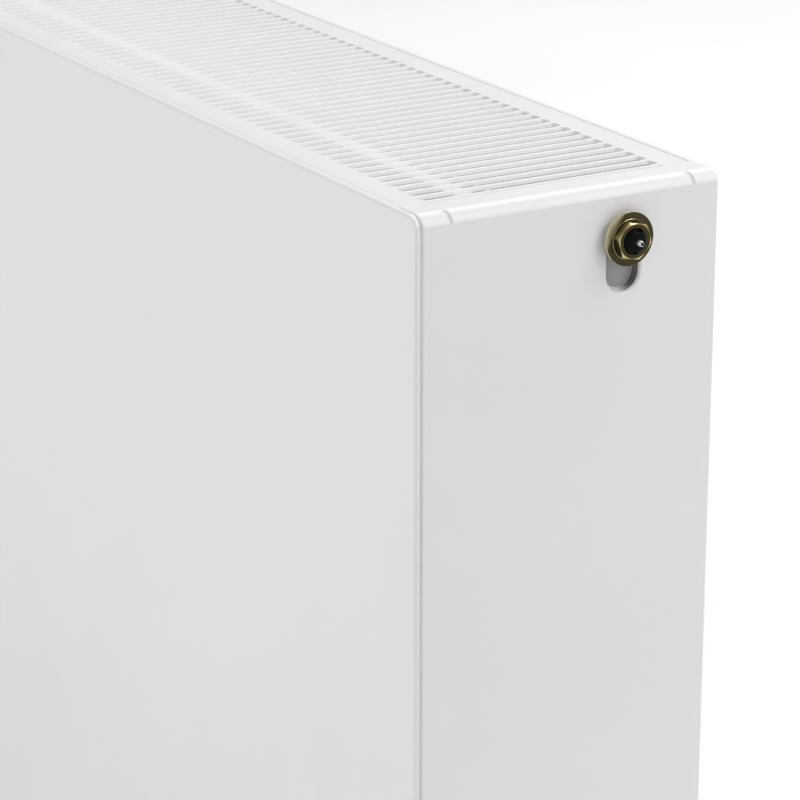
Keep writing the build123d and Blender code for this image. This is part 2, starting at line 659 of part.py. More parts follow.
nozzle_profile = [
    (-7.8, VENT_NECK_R + 0.1),
    (-7.8, 6.1),
    (-7.3, 6.6),
    (-4.7, 6.6),
    (-4.2, 6.1),
    (-4.2, VENT_NECK_R + 0.1),
    (-5.2, VENT_NECK_R + 0.1),
    (-5.2, VENT_NECK_R + 0.7),
    (-6.8, VENT_NECK_R + 0.7),
    (-6.8, VENT_NECK_R + 0.1),
]
with BuildPart() as vent_nozzle:
    add(turned(nozzle_profile, X_LEFT, -1, Z_VALVE))
    with BuildSketch(end_plane(X_LEFT + 4.4, Y_VALVE, Z_VALVE - 5.7, -1)):
        Circle(1.1)
    extrude(amount=3.4)
    with BuildSketch(end_plane(X_LEFT + 5.6, Y_VALVE, Z_VALVE - 5.7, -1)):
        Circle(0.5)
    extrude(amount=5, mode=Mode.SUBTRACT)
save(vent_nozzle.part, "vent_nozzle")

bleed_profile = [
    (-12.2, 0),
    (-11.4, 1.0),
    (-10.2, BLEED_R),
    (-3.0, BLEED_R),
    (-3.0, 0),
]
with BuildPart() as bleed_screw:
    add(turned(bleed_profile, X_LEFT, -1, Z_VALVE))
    with BuildSketch(end_plane(X_LEFT + 3.2, Y_VALVE, Z_VALVE, -1)):
        RectangleRounded(5, 5, 0.6)
    extrude(amount=2.6)
save(bleed_screw.part, "bleed_screw")


# ---- thermostatic valve insert --------------------------------------------------------------------
RING_R = 12.5
RING_BACK = 2.8
RING_EDGE = 0.2
RING_FRONT = 4.7
HEX_FLATS = 16.0
HEX_FRONT = 8.8
HEX_CHAMFER_R = 7.9
HEX_FOOT_R = 9.35
NECK_R = 6.6
SHANK_R = INSERT_BORE_R - THREAD_CLEAR
INSERT_END = -20.0
BODY_BORE_R = 5.0
CAP_RECESS_R = 6.0
CAP_R = 5.75
PIN_R = 1.5

insert_profile = [
    (INSERT_END, BODY_BORE_R),
    (INSERT_END, SHANK_R),
    (-18.2, SHANK_R),
    (-18.2, 5.75),
    (-16.8, 5.75),
    (-16.8, SHANK_R),
    (-VALVE_FACE, SHANK_R),
    (-VALVE_FACE, NECK_R),
    (RING_BACK, NECK_R),
    (RING_BACK, RING_R - RING_EDGE),
    (RING_BACK + RING_EDGE, RING_R),
    (RING_FRONT - RING_EDGE, RING_R),
    (RING_FRONT, RING_R - RING_EDGE),
    (RING_FRONT, HEX_FOOT_R),
    (RING_FRONT + 0.4, HEX_FOOT_R),
    (RING_FRONT + 0.4, BODY_BORE_R),
]
chamfer_reach = 2.6
with BuildPart() as valve_insert:
    with BuildSketch(end_plane(X_RIGHT + RING_FRONT, Y_VALVE, Z_VALVE)):
        RegularPolygon(HEX_FLATS / 2, 6, major_radius=False)
    extrude(amount=HEX_FRONT - RING_FRONT)
    with BuildSketch(spin_plane(X_RIGHT, 1, Y_VALVE, Z_VALVE)):
        with BuildLine():
            Polyline(
                (HEX_FRONT, HEX_CHAMFER_R),
                (HEX_FRONT + 1, HEX_CHAMFER_R + chamfer_reach),
                (HEX_FRONT - 0.577 * chamfer_reach, HEX_CHAMFER_R + chamfer_reach),
                close=True,
            )
        make_face()
    revolve(axis=Axis((X_RIGHT, Y_VALVE, Z_VALVE), (1, 0, 0)), mode=Mode.SUBTRACT)
    add(turned(insert_profile, X_RIGHT, 1, Z_VALVE))
    with BuildSketch(end_plane(X_RIGHT + HEX_FRONT, Y_VALVE, Z_VALVE)):
        Circle(BODY_BORE_R)
    extrude(amount=INSERT_END - HEX_FRONT, mode=Mode.SUBTRACT)
    with BuildSketch(end_plane(X_RIGHT + HEX_FRONT, Y_VALVE, Z_VALVE)):
        Circle(CAP_RECESS_R)
    extrude(amount=5.2 - HEX_FRONT, mode=Mode.SUBTRACT)
save(valve_insert.part, "valve_insert")


def seal_ring(u, radius, section):
    """An O-ring about the valve axis."""
    with BuildPart() as ring:
        with BuildSketch(spin_plane(X_RIGHT, 1, Y_VALVE, Z_VALVE)):
            with Locations((u, radius)):
                Circle(section)
        revolve(axis=Axis((X_RIGHT, Y_VALVE, Z_VALVE), (1, 0, 0)))
    return ring.part


save(seal_ring(-17.5, 6.36, 0.58), "insert_oring")
save(seal_ring(2.1, 2.13, 0.57), "gland_oring")

cage_profile = [
    (6.0, 4.0),
    (6.0, 4.9),
    (-20.2, 4.9),
    (-20.2, 6.4),
    (-44.0, 6.4),
    (-44.0, 5.4),
    (-22.0, 5.4),
    (-22.0, 2.2),
    (-20.6, 2.2),
    (-20.6, 4.0),
]
with BuildPart() as preset_cage:
    add(turned(cage_profile, X_RIGHT, 1, Z_VALVE))
    with Locations((X_RIGHT - 36, Y_VALVE, Z_VALVE)):
        Box(12, 7, 20, mode=Mode.SUBTRACT)
save(preset_cage.part, "preset_cage")

gland_profile = [
    (-1.0, 1.65),
    (-1.0, 3.95),
    (5.4, 3.95),
    (5.4, 1.65),
    (2.8, 1.65),
    (2.8, 2.75),
    (1.4, 2.75),
    (1.4, 1.65),
]
save(turned(gland_profile, X_RIGHT, 1, Z_VALVE), "gland_bush")

# Black presetting cap: a dome with two notches for its key.
CAP_FRONT = 11.2
CAP_SHOULDER = 8.4
CAP_NOTCH = 2.2
cap_outline = [
    (CAP_SHOULDER, CAP_R),
    (5.5, CAP_R),
    (5.5, 4.95),
    (6.1, 4.95),
    (6.1, 1.7),
    (CAP_FRONT, 1.7),
    (CAP_FRONT, 2.2),
]
with BuildPart() as preset_cap:
    with BuildSketch(spin_plane(X_RIGHT, 1, Y_VALVE, Z_VALVE)):
        with BuildLine():
            Polyline(*cap_outline)
            ThreePointArc((CAP_FRONT, 2.2), (10.5, 4.35), (CAP_SHOULDER, CAP_R))
        make_face()
    revolve(axis=Axis((X_RIGHT, Y_VALVE, Z_VALVE), (1, 0, 0)))
    for side in (-1, 1):
        with Locations((X_RIGHT + 9.9, Y_VALVE, Z_VALVE + side * (CAP_R + 0.2))):
            Box(3.0, CAP_NOTCH, 3.0, mode=Mode.SUBTRACT)
save(preset_cap.part, "preset_cap")

with BuildPart() as push_pin:
    with BuildSketch(end_plane(X_RIGHT - 2, Y_VALVE, Z_VALVE)):
        Circle(PIN_R)
    extrude(amount=2 + VALVE_REACH)
    chamfer(push_pin.faces().sort_by(Axis.X)[-1].edges(), 0.35)
save(push_pin.part, "push_pin")

spindle_profile = [
    (-2.0, 0),
    (-2.0, PIN_R),
    (-3.0, PIN_R),
    (-3.0, 3.6),
    (-4.0, 3.6),
    (-4.0, PIN_R),
    (-41.9, PIN_R),
    (-41.9, 0),
]
save(turned(spindle_profile, X_RIGHT, 1, Z_VALVE), "spindle")

SPRING_WIRE_R = 0.35
SPRING_R = 2.75
SPRING_FIXED = -20.2
SPRING_LENGTH = 15.8
with BuildPart() as valve_spring:
    with BuildLine() as coil:
        Helix(
            pitch=2.2,
            height=SPRING_LENGTH,
            radius=SPRING_R,
            center=(X_RIGHT + SPRING_FIXED, Y_VALVE, Z_VALVE),
            direction=(1, 0, 0),
        )
    with BuildSketch(Plane(origin=coil.line @ 0, z_dir=coil.line % 0)):
        Circle(SPRING_WIRE_R)
    sweep(path=coil.line, is_frenet=True)
save(valve_spring.part, "valve_spring")

save(turned([(-40.4, 1.55), (-40.4, 4.6), (-38.9, 4.6), (-38.9, 1.55)], X_RIGHT, 1, Z_VALVE), "disc_holder")
disc_profile = [(-42.9, 0), (-42.9, 4.6), (-40.4, 4.6), (-40.4, 1.55), (-42.0, 1.55), (-42.0, 0)]
save(turned(disc_profile, X_RIGHT, 1, Z_VALVE), "valve_disc")


# ---- fixings --------------------------------------------------------------------------------------
LUG_SHEET = 2.0
LUG_HEIGHT = 40.0
LUG_TOP_WIDTH = 26.0
LUG_FOOT_WIDTH = 46.0
LUG_SPAN = 23 * CHANNEL_PITCH
LUG_ROWS = (80.0, 480.0)
half_top = LUG_TOP_WIDTH / 2
half_foot = LUG_FOOT_WIDTH / 2
lug_profile = [
    (-half_foot, 0),
    (-half_foot, LUG_SHEET),
    (-half_top, LUG_SHEET),
    (-half_top, LUG_STAND),
    (half_top, LUG_STAND),
    (half_top, LUG_SHEET),
    (half_foot, LUG_SHEET),
    (half_foot, 0),
    (half_top - LUG_SHEET, 0),
    (half_top - LUG_SHEET, LUG_STAND - LUG_SHEET),
    (LUG_SHEET - half_top, LUG_STAND - LUG_SHEET),
    (LUG_SHEET - half_top, 0),
]
with BuildPart() as hanging_lugs:
    for z in LUG_ROWS:
        for x in (X_MID - LUG_SPAN / 2, X_MID + LUG_SPAN / 2):
            with BuildSketch(Plane(origin=(x, Y_REAR, z), x_dir=(1, 0, 0), z_dir=(0, 0, 1))):
                with BuildLine():
                    Polyline(*lug_profile, close=True)
                make_face()
            extrude(amount=LUG_HEIGHT)
save(hanging_lugs.part, "hanging_lugs")

# Spring clips under the grille grip the rim of the middle panel.
CLIP_LENGTH = 14.0
CLIP_SHEET = 0.6
CLIP_LEG = 5.6
CLIP_COUNT = 4
CLIP_SPACING = 250.0
clip_grip = 2 * SHEET + 0.1
clip_start = X_MID - CLIP_SPACING * (CLIP_COUNT - 1) / 2 - CLIP_LENGTH / 2
clip_origin = (clip_start, Y_MID + SHEET, GRILLE_UNDER)
with BuildPart() as grille_clips:
    for index in range(CLIP_COUNT):
        clip_plane = Plane(origin=clip_origin, x_dir=(0, 1, 0), z_dir=(1, 0, 0)).offset(index * CLIP_SPACING)
        with BuildSketch(clip_plane):
            with Locations((0, -CLIP_LEG / 2)):
                Rectangle(clip_grip + 2 * CLIP_SHEET, CLIP_LEG)
            with Locations((0, -CLIP_SHEET - CLIP_LEG / 2)):
                Rectangle(clip_grip, CLIP_LEG, mode=Mode.SUBTRACT)
        extrude(amount=CLIP_LENGTH)
save(grille_clips.part, "grille_clips")
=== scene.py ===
import math

import bmesh
import bpy
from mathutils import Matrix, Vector


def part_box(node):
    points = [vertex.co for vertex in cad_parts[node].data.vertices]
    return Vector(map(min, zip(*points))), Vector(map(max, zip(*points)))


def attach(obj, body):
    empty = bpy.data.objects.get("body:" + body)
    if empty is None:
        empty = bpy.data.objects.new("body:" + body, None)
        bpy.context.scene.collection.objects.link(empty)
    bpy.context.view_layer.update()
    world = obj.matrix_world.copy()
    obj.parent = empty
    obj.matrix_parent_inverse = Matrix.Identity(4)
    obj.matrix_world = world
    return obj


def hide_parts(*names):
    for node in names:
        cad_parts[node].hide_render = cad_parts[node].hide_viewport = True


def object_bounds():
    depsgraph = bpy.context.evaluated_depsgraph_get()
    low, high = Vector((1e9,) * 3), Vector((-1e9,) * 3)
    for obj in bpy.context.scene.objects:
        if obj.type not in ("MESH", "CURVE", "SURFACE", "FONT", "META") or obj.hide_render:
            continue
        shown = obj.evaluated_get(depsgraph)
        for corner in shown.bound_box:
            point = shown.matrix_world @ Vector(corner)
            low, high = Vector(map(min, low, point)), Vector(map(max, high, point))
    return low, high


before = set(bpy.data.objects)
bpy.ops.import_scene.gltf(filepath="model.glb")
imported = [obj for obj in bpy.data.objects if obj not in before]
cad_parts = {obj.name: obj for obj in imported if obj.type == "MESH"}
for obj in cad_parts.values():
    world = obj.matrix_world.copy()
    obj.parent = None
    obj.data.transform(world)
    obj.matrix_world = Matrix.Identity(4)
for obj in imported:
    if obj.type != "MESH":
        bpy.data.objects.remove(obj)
cad_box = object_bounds()

MM = 0.001
insert_low, insert_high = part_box("valve_insert")
casing_low, casing_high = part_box("right_side_casing")
SIDE_FACE = casing_high.x
HEIGHT = casing_high.z
AXIS_Y = (insert_low.y + insert_high.y) / 2
AXIS_Z = (insert_low.z + insert_high.z) / 2


# ---- nodes that the materials are made of ------------------------------------------------------
NOISE_LOW = 0.3
NOISE_HIGH = 0.7


def grain(tree, scale, detail, seed):
    """A noise texture over the frame's own coordinates; scale is in cycles per metre."""
    place = tree.nodes.new("ShaderNodeTexCoord")
    shift = tree.nodes.new("ShaderNodeMapping")
    shift.inputs["Location"].default_value = (seed, 2 * seed, 3 * seed)
    noise = tree.nodes.new("ShaderNodeTexNoise")
    noise.inputs["Scale"].default_value = scale
    noise.inputs["Detail"].default_value = detail
    tree.links.new(place.outputs["Object"], shift.inputs["Vector"])
    tree.links.new(shift.outputs["Vector"], noise.inputs["Vector"])
    return noise.outputs["Fac"]


def spread(tree, value, low, high):
    """The middle of a noise's range mapped to low..high."""
    remap = tree.nodes.new("ShaderNodeMapRange")
    remap.inputs["From Min"].default_value = NOISE_LOW
    remap.inputs["From Max"].default_value = NOISE_HIGH
    remap.inputs["To Min"].default_value = low
    remap.inputs["To Max"].default_value = high
    tree.links.new(value, remap.inputs["Value"])
    return remap.outputs["Result"]


def ramp(tree, value, start, end):
    """0 at start, 1 at end, smooth between them; start may be the larger of the two."""
    rising = start < end
    step = tree.nodes.new("ShaderNodeMapRange")
    step.interpolation_type = "SMOOTHSTEP"
    step.inputs["From Min"].default_value = start if rising else end
    step.inputs["From Max"].default_value = end if rising else start
    step.inputs["To Min"].default_value = 0 if rising else 1
    step.inputs["To Max"].default_value = 1 if rising else 0
    tree.links.new(value, step.inputs["Value"])
    return step.outputs["Result"]


def part_of(tree, source, output, axis):
    """One coordinate of a vector output of a new node."""
    node = tree.nodes.new(source)
    split = tree.nodes.new("ShaderNodeSeparateXYZ")
    tree.links.new(node.outputs[output], split.inputs["Vector"])
    return split.outputs[axis]


def against(tree, operation, vector):
    """The point's coordinates set against a fixed vector, by DOT_PRODUCT or DISTANCE."""
    place = tree.nodes.new("ShaderNodeTexCoord")
    node = tree.nodes.new("ShaderNodeVectorMath")
    node.operation = operation
    node.inputs[1].default_value = vector
    tree.links.new(place.outputs["Object"], node.inputs[0])
    return node.outputs["Value"]


def combined(tree, operation, first, second):
    """Two values joined by a Math node."""
    node = tree.nodes.new("ShaderNodeMath")
    node.operation = operation
    tree.links.new(first, node.inputs[0])
    tree.links.new(second, node.inputs[1])
    return node.outputs["Value"]


def product(tree, first, second):
    """Both shares at once."""
    return combined(tree, "MULTIPLY", first, second)


def facing(tree, axis, start, end):
    """How far the surface faces along an axis: 0 where the normal's share of it is start, 1 at end."""
    return ramp(tree, part_of(tree, "ShaderNodeNewGeometry", "Normal", axis), start, end)


# ---- where a finish takes its painted shade or painted dark reflection -------------------------
# A pair for a normal gives its share along an axis where a face starts to count, and where it
# counts in full. A pair of depths does the same in millimetres into the right side. The other
# distances are in millimetres too: LIT_FROM and LIT_TO are measured from the valve axis along
# LIT_WAY, SLOT_NEAR and SLOT_FAR from SLOT_MIDDLE.
OUTWARD = (0.9, 0.97)
DOWNWARD = (0.5, -0.7)
FRONTWARD = (0.4, -0.7)
OFF_CHAMFER = (0.4, 0.2)
LIT_WAY = (0, -0.866, 0.5)
LIT_FROM = 8.0
LIT_TO = 10.5
LIT_SHARE = 0.45
SLOT_MIDDLE = (SIDE_FACE, AXIS_Y, AXIS_Z - 8 * MM)
SLOT_NEAR = 20
SLOT_FAR = 24
BEHIND_DEPTHS = (2, 4)
WALL_START_DEPTHS = (1.1, 1.6)
WALL_END_DEPTHS = (4.8, 4.5)


def turned_faces(tree):
    """1 on faces that look out of the side, 0 on the rest; where the metals take a painted dark
    reflection.
    """
    return facing(tree, "X", *OUTWARD)


def ring_faces(tree):
    """The turned faces' share of painted dark reflection, with less of it where the toothed ring
    catches the light, a painted highlight on its side that lies towards LIT_WAY."""
    axis = LIT_WAY[1] * AXIS_Y + LIT_WAY[2] * AXIS_Z
    along = against(tree, "DOT_PRODUCT", LIT_WAY)
    dark = ramp(tree, along, axis + LIT_TO * MM, axis + LIT_FROM * MM)
    lift = tree.nodes.new("ShaderNodeMapRange")
    lift.inputs["To Min"].default_value = LIT_SHARE
    tree.links.new(dark, lift.inputs["Value"])
    return product(tree, lift.outputs["Result"], turned_faces(tree))


def shaded_flats(tree):
    """1 on the turned faces, most of it on the flats that look down, none on the chamfers."""
    down = product(tree, facing(tree, "Z", *DOWNWARD), facing(tree, "X", *OFF_CHAMFER))
    return combined(tree, "MAXIMUM", down, turned_faces(tree))


def into_side(tree, start, end):
    """0 at the depth start in the right side, 1 at the depth end."""
    across = part_of(tree, "ShaderNodeTexCoord", "Object", "X")
    return ramp(tree, across, SIDE_FACE - start * MM, SIDE_FACE - end * MM)


def near_slot(tree, start, end):
    """The share of into_side, kept to the surroundings of the valve's slot."""
    around = ramp(tree, against(tree, "DISTANCE", SLOT_MIDDLE), SLOT_FAR * MM, SLOT_NEAR * MM)
    return product(tree, into_side(tree, start, end), around)


def collar_wall(tree):
    """1 on the wall of the slot's collar that faces the front, where it takes a painted shade, up to a
    light edge at its inner end.
    """
    wall = product(tree, near_slot(tree, *WALL_START_DEPTHS), facing(tree, "Y", *FRONTWARD))
    return product(tree, wall, into_side(tree, *WALL_END_DEPTHS))


def behind_slot(tree):
    """1 on what lies behind the slot, where it takes a painted shade."""
    return near_slot(tree, *BEHIND_DEPTHS)


# ---- finishes ----------------------------------------------------------------------------------
TINT_SEED = 1.3
SMEAR_SEED = 4.1
PEEL_SEED = 7.7
SMEARS_PER_PATCH = 9


def finish(name, dark, light, roughness, patch, peel, depth, metallic=0.0, painted_shade=None, **fixed):
    """A surface whose colour wanders between dark and light over patches (cycles per metre), whose
    roughness varies, and whose relief has a grain of peel cycles per metre, depth millimetres high.

    painted_shade is a second colour and a function that builds its share at each point: a painted
    shade, on the metals a painted dark reflection. fixed are further inputs of the shader, with _ for
    each space in their names."""
    material = bpy.data.materials.new(name)
    material.use_nodes = True
    tree = material.node_tree
    shader = tree.nodes["Principled BSDF"]
    tint = grain(tree, patch, detail=3.0, seed=TINT_SEED)
    mix = tree.nodes.new("ShaderNodeMix")
    mix.data_type = "RGBA"
    mix.inputs["A"].default_value = (*dark, 1)
    mix.inputs["B"].default_value = (*light, 1)
    tree.links.new(spread(tree, tint, 0, 1), mix.inputs["Factor"])
    colour = mix.outputs["Result"]
    if painted_shade:
        shade, share = painted_shade
        over = tree.nodes.new("ShaderNodeMix")
        over.data_type = "RGBA"
        over.inputs["B"].default_value = (*shade, 1)
        tree.links.new(colour, over.inputs["A"])
        tree.links.new(share(tree), over.inputs["Factor"])
        colour = over.outputs["Result"]
    tree.links.new(colour, shader.inputs["Base Color"])
    smear = grain(tree, patch * SMEARS_PER_PATCH, detail=2.0, seed=SMEAR_SEED)
    tree.links.new(spread(tree, smear, *roughness), shader.inputs["Roughness"])
    relief = grain(tree, peel, detail=2.0, seed=PEEL_SEED)
    bump = tree.nodes.new("ShaderNodeBump")
    bump.inputs["Strength"].default_value = 1.0
    bump.inputs["Distance"].default_value = depth * MM
    tree.links.new(relief, bump.inputs["Height"])
    tree.links.new(bump.outputs["Normal"], shader.inputs["Normal"])
    shader.inputs["Metallic"].default_value = metallic
    for socket, value in fixed.items():
        shader.inputs[socket.replace("_", " ")].default_value = value
    return material


def grey(level):
    """A colour without a tint."""
    return (level, level, level)


# Painted shade on what lies behind the valve's slot.
BEHIND_SLOT_SHADE = grey(0.40)
# Painted shade on the wall of the valve slot's collar.
COLLAR_WALL_SHADE = grey(0.13)
# Painted dark reflection on the brass.
BRASS_DARK_REFLECTION = (0.06, 0.048, 0.02)
# Painted dark reflection on the steel.
STEEL_DARK_REFLECTION = (0.06, 0.06, 0.065)

# The wall of the valve slot's collar takes a painted shade.
ENAMEL = finish(
    "white_powder_coat", grey(0.80), grey(0.83), roughness=(0.31, 0.38),
    patch=5, peel=520, depth=0.006, painted_shade=(COLLAR_WALL_SHADE, collar_wall),
)
# The inner sheets take a darker white than the outer ones: painted shade of the deep inside. Their
# rougher finish is their own.
ENAMEL_INNER_SHADED = finish(
    "white_coat_inside_shaded", grey(0.72), (0.77, 0.77, 0.765), roughness=(0.42, 0.5),
    patch=12, peel=420, depth=0.008,
)
# What lies behind the valve's slot takes a painted shade.
PRIMER = finish(
    "primed_steel", (0.52, 0.52, 0.515), (0.60, 0.60, 0.59), roughness=(0.45, 0.6),
    patch=30, peel=900, depth=0.01, painted_shade=(BEHIND_SLOT_SHADE, behind_slot),
)
# The toothed ring's turned faces take a painted dark reflection, with a painted highlight towards
# LIT_WAY.
BRASS_RIM = finish(
    "brass_rim", (0.62, 0.55, 0.36), (0.74, 0.67, 0.46), roughness=(0.24, 0.33),
    patch=120, peel=2500, depth=0.004, metallic=0.8, painted_shade=(BRASS_DARK_REFLECTION, ring_faces),
)
# The hexagon's turned faces and downward flats take a painted dark reflection.
BRASS = finish(
    "brass", (0.55, 0.46, 0.23), (0.66, 0.56, 0.30), roughness=(0.2, 0.28),
    patch=120, peel=2500, depth=0.004, metallic=0.9, painted_shade=(BRASS_DARK_REFLECTION, shaded_flats),
)
NICKEL = finish(
    "nickel_plate", (0.55, 0.53, 0.50), (0.63, 0.61, 0.57), roughness=(0.18, 0.28),
    patch=60, peel=2200, depth=0.003, metallic=1.0,
)
# The steel's turned faces take a painted dark reflection.
STEEL = finish(
    "bright_steel", (0.62, 0.62, 0.64), (0.76, 0.76, 0.78), roughness=(0.3, 0.4),
    patch=150, peel=3000, depth=0.003, metallic=1.0, painted_shade=(STEEL_DARK_REFLECTION, turned_faces),
)
BLACK = finish(
    "black_plastic", (0.002, 0.002, 0.0022), (0.0045, 0.0045, 0.005), roughness=(0.38, 0.46),
    patch=140, peel=2600, depth=0.004, Specular_IOR_Level=0.08,
)
GREY = finish(
    "grey_plastic", (0.17, 0.17, 0.18), (0.21, 0.21, 0.22), roughness=(0.4, 0.5),
    patch=90, peel=1900, depth=0.01,
)
WHITE = finish(
    "white_plastic", (0.72, 0.72, 0.70), (0.78, 0.78, 0.76), roughness=(0.35, 0.45),
    patch=60, peel=1700, depth=0.008,
)
RUBBER = finish(
    "black_rubber", grey(0.018), grey(0.028), roughness=(0.55, 0.7),
    patch=200, peel=2400, depth=0.012,
)
FIBRE = finish(
    "red_fibre", (0.28, 0.045, 0.03), (0.36, 0.07, 0.045), roughness=(0.65, 0.8),
    patch=240, peel=3200, depth=0.03,
)
FOAM = finish(
    "grey_foam", grey(0.30), grey(0.42), roughness=(0.8, 0.95),
    patch=300, peel=1500, depth=0.2,
)

FINISH_OF_SLOT = {
    "white_enamel": ENAMEL,
    "primed_steel": PRIMER,
    "brass": BRASS,
    "nickel": NICKEL,
    "steel": STEEL,
    "black_plastic": BLACK,
    "grey_plastic": GREY,
    "white_plastic": WHITE,
    "rubber": RUBBER,
    "fibre": FIBRE,
    "foam": FOAM,
}
INNER_NODES = (
    "front_panel_inner", "middle_panel_outer", "middle_panel_inner", "rear_panel_inner",
    "front_convector", "middle_convector", "rear_convector", "front_cross_tubes",
)
for name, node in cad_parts.items():
    for held in node.material_slots:
        held.material = ENAMEL_INNER_SHADED if name in INNER_NODES else FINISH_OF_SLOT[held.material.name]


# ---- mesh helpers ------------------------------------------------------------------------------
def linked(name, data):
    """A new object in the scene."""
    made = bpy.data.objects.new(name, data)
    bpy.context.scene.collection.objects.link(made)
    return made


def surfaced(mesh, material, sharp):
    """Smooth shading, broken at edges of more than sharp degrees, in one material."""
    mesh.polygons.foreach_set("use_smooth", [True] * len(mesh.polygons))
    mesh.set_sharp_from_angle(angle=math.radians(sharp))
    mesh.materials.append(material)


def piece(name, points, faces, material, body="root", sharp=30):
    """A mesh in metres that rides on a body."""
    mesh = bpy.data.meshes.new(name)
    mesh.from_pydata(points, [], faces)
    mesh.validate()
    surfaced(mesh, material, sharp)
    made = linked(name, mesh)
    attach(made, body)
    return made


def lathe(rows, steps, moved=None, solid=False):
    """Points and faces of a ring of rows about the valve axis. Each row is (how far out of the side
    face, radius), in millimetres; moved(row, angle, out, radius) may give a point another place.
    The rows close on themselves, or, for a solid, the first and the last are ends on the axis."""
    points = []
    rings = []
    for row, (out, radius) in enumerate(rows):
        ring = []
        for step in range(steps):
            if solid and row in (0, len(rows) - 1) and step:
                ring.append(ring[0])
                continue
            angle = math.tau * step / steps
            u, r = moved(row, angle, out, radius) if moved else (out, radius)
            ring.append(len(points))
            points.append((
                SIDE_FACE + u * MM,
                AXIS_Y + r * MM * math.cos(angle),
                AXIS_Z + r * MM * math.sin(angle),
            ))
        rings.append(ring)
    spans = len(rows) - 1 if solid else len(rows)
    faces = []
    for row in range(spans):
        below, above = rings[row], rings[(row + 1) % len(rows)]
        for step in range(steps):
            after = (step + 1) % steps
            corners = (below[step], below[after], above[after], above[step])
            faces.append(tuple(dict.fromkeys(corners)))
    return points, faces


# ---- brass valve insert ------------------------------------------------------------------------
# All lengths are in millimetres, and those along the axis are measured out of the side face.
RING_R = 12.5
RING_BACK = 2.8
RING_FRONT = 4.7
RING_EDGE = 0.18
RING_FACE_R = RING_R - 1.0
KNURLS = 60
KNURL_STEPS = 6
KNURL_ROWS = 8
KNURL_DEPTH = 0.35
KNURL_SLANT = 0.4
KNURL_POWER = 1.8

NECK_R = 6.6
BORE_R = 5.0
SHANK_R = 6.95
SHANK_END = -20.0
SHANK_START = -5.3
GROOVE_R = 5.75
GROOVE_ENDS = (-18.2, -16.8)
THREAD_R = 6.93
THREAD_ROOT_R = 6.4
THREAD_END = -16.2
THREAD_PITCH = 1.5
THREAD_TURNS = 6
SHANK_STEPS = 96

HEX_TURN = math.radians(-12)
HEX_FOOT_R = 9.35
HEX_FOOT_SUNK = RING_FRONT - 0.1
HEX_FOOT_RIM = RING_FRONT + 0.28
HEX_FOOT_TOP = RING_FRONT + 0.4
HEX_FOOT_DRAFT = 0.05
HEX_FOOT_BEVEL = 0.12
HEX_HALF = 8.0
HEX_FRONT = 8.8
HEX_CHAMFER_R = 7.9
RECESS_R = 6.0
RECESS_EDGE = 0.2
RECESS_FLOOR = 5.2
HEX_STEPS = 360


def knurled_collar():
    """The toothed ring: slanted teeth round its rim, plain faces."""
    first, last = RING_BACK + RING_EDGE, RING_FRONT - RING_EDGE
    rim = [
        (first + (last - first) * row / KNURL_ROWS, RING_R) for row in range(KNURL_ROWS + 1)
    ]
    rows = [(RING_BACK, NECK_R), (RING_BACK, RING_FACE_R), (RING_BACK, RING_R - RING_EDGE)]
    teeth = range(len(rows), len(rows) + len(rim))
    rows += rim
    rows += [(RING_FRONT, RING_R - RING_EDGE), (RING_FRONT, RING_FACE_R), (RING_FRONT, NECK_R)]

    def cut(row, angle, out, radius):
        if row not in teeth:
            return out, radius
        phase = KNURLS * angle / math.tau + KNURL_SLANT * (out - first) / (last - first)
        return out, radius - KNURL_DEPTH * abs(2 * (phase % 1) - 1) ** KNURL_POWER

    points, faces = lathe(rows, KNURLS * KNURL_STEPS, cut)
    return piece("insert_collar", points, faces, BRASS_RIM, sharp=40)


def hexagon():
    """The hexagon with its 30 degree chamfer, the round foot it stands on, and the cap's recess."""
    foot = [
        (HEX_FOOT_SUNK, BORE_R),
        (HEX_FOOT_SUNK, HEX_FOOT_R - HEX_FOOT_DRAFT),
        (HEX_FOOT_RIM, HEX_FOOT_R),
        (HEX_FOOT_TOP, HEX_FOOT_R - HEX_FOOT_BEVEL),
    ]
    flats = [(HEX_FOOT_TOP, 0), (HEX_FRONT, 0)]
    front = [
        (HEX_FRONT, HEX_CHAMFER_R),
        (HEX_FRONT, RECESS_R + RECESS_EDGE),
        (HEX_FRONT - RECESS_EDGE, RECESS_R),
        (RECESS_FLOOR, RECESS_R),
        (RECESS_FLOOR, BORE_R),
    ]
    bottom, top = len(foot), len(foot) + 1

    def shape(row, angle, out, radius):
        if row not in (bottom, top):
            return out, radius
        flat = HEX_HALF / math.cos((angle - HEX_TURN) % (math.pi / 3) - math.pi / 6)
        if row == bottom:
            return out, flat
        return HEX_FRONT - max(0, flat - HEX_CHAMFER_R) * math.tan(math.pi / 6), flat

    points, faces = lathe(foot + flats + front, HEX_STEPS, shape)
    piece("insert_hexagon", points, faces, BRASS, sharp=24)


def shank():
    """Neck and shank inside the boss, with the groove of the O-ring and the ridges of a thread."""
    rows = [(SHANK_END, BORE_R), (SHANK_END, SHANK_R)]
    rows += [(GROOVE_ENDS[0], SHANK_R), (GROOVE_ENDS[0], GROOVE_R)]
    rows += [(GROOVE_ENDS[1], GROOVE_R), (GROOVE_ENDS[1], SHANK_R)]
    for half in range(2 * THREAD_TURNS):
        ridge = THREAD_ROOT_R if half % 2 else THREAD_R
        rows.append((THREAD_END + half * THREAD_PITCH / 2, ridge))
    rows += [(SHANK_START, THREAD_R), (SHANK_START, NECK_R)]
    rows += [(RING_BACK, NECK_R), (RING_FRONT, NECK_R), (RING_FRONT, BORE_R)]
    points, faces = lathe(rows, SHANK_STEPS)
    piece("insert_shank", points, faces, BRASS)


collar = knurled_collar()
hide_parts("valve_insert")
hexagon()
shank()


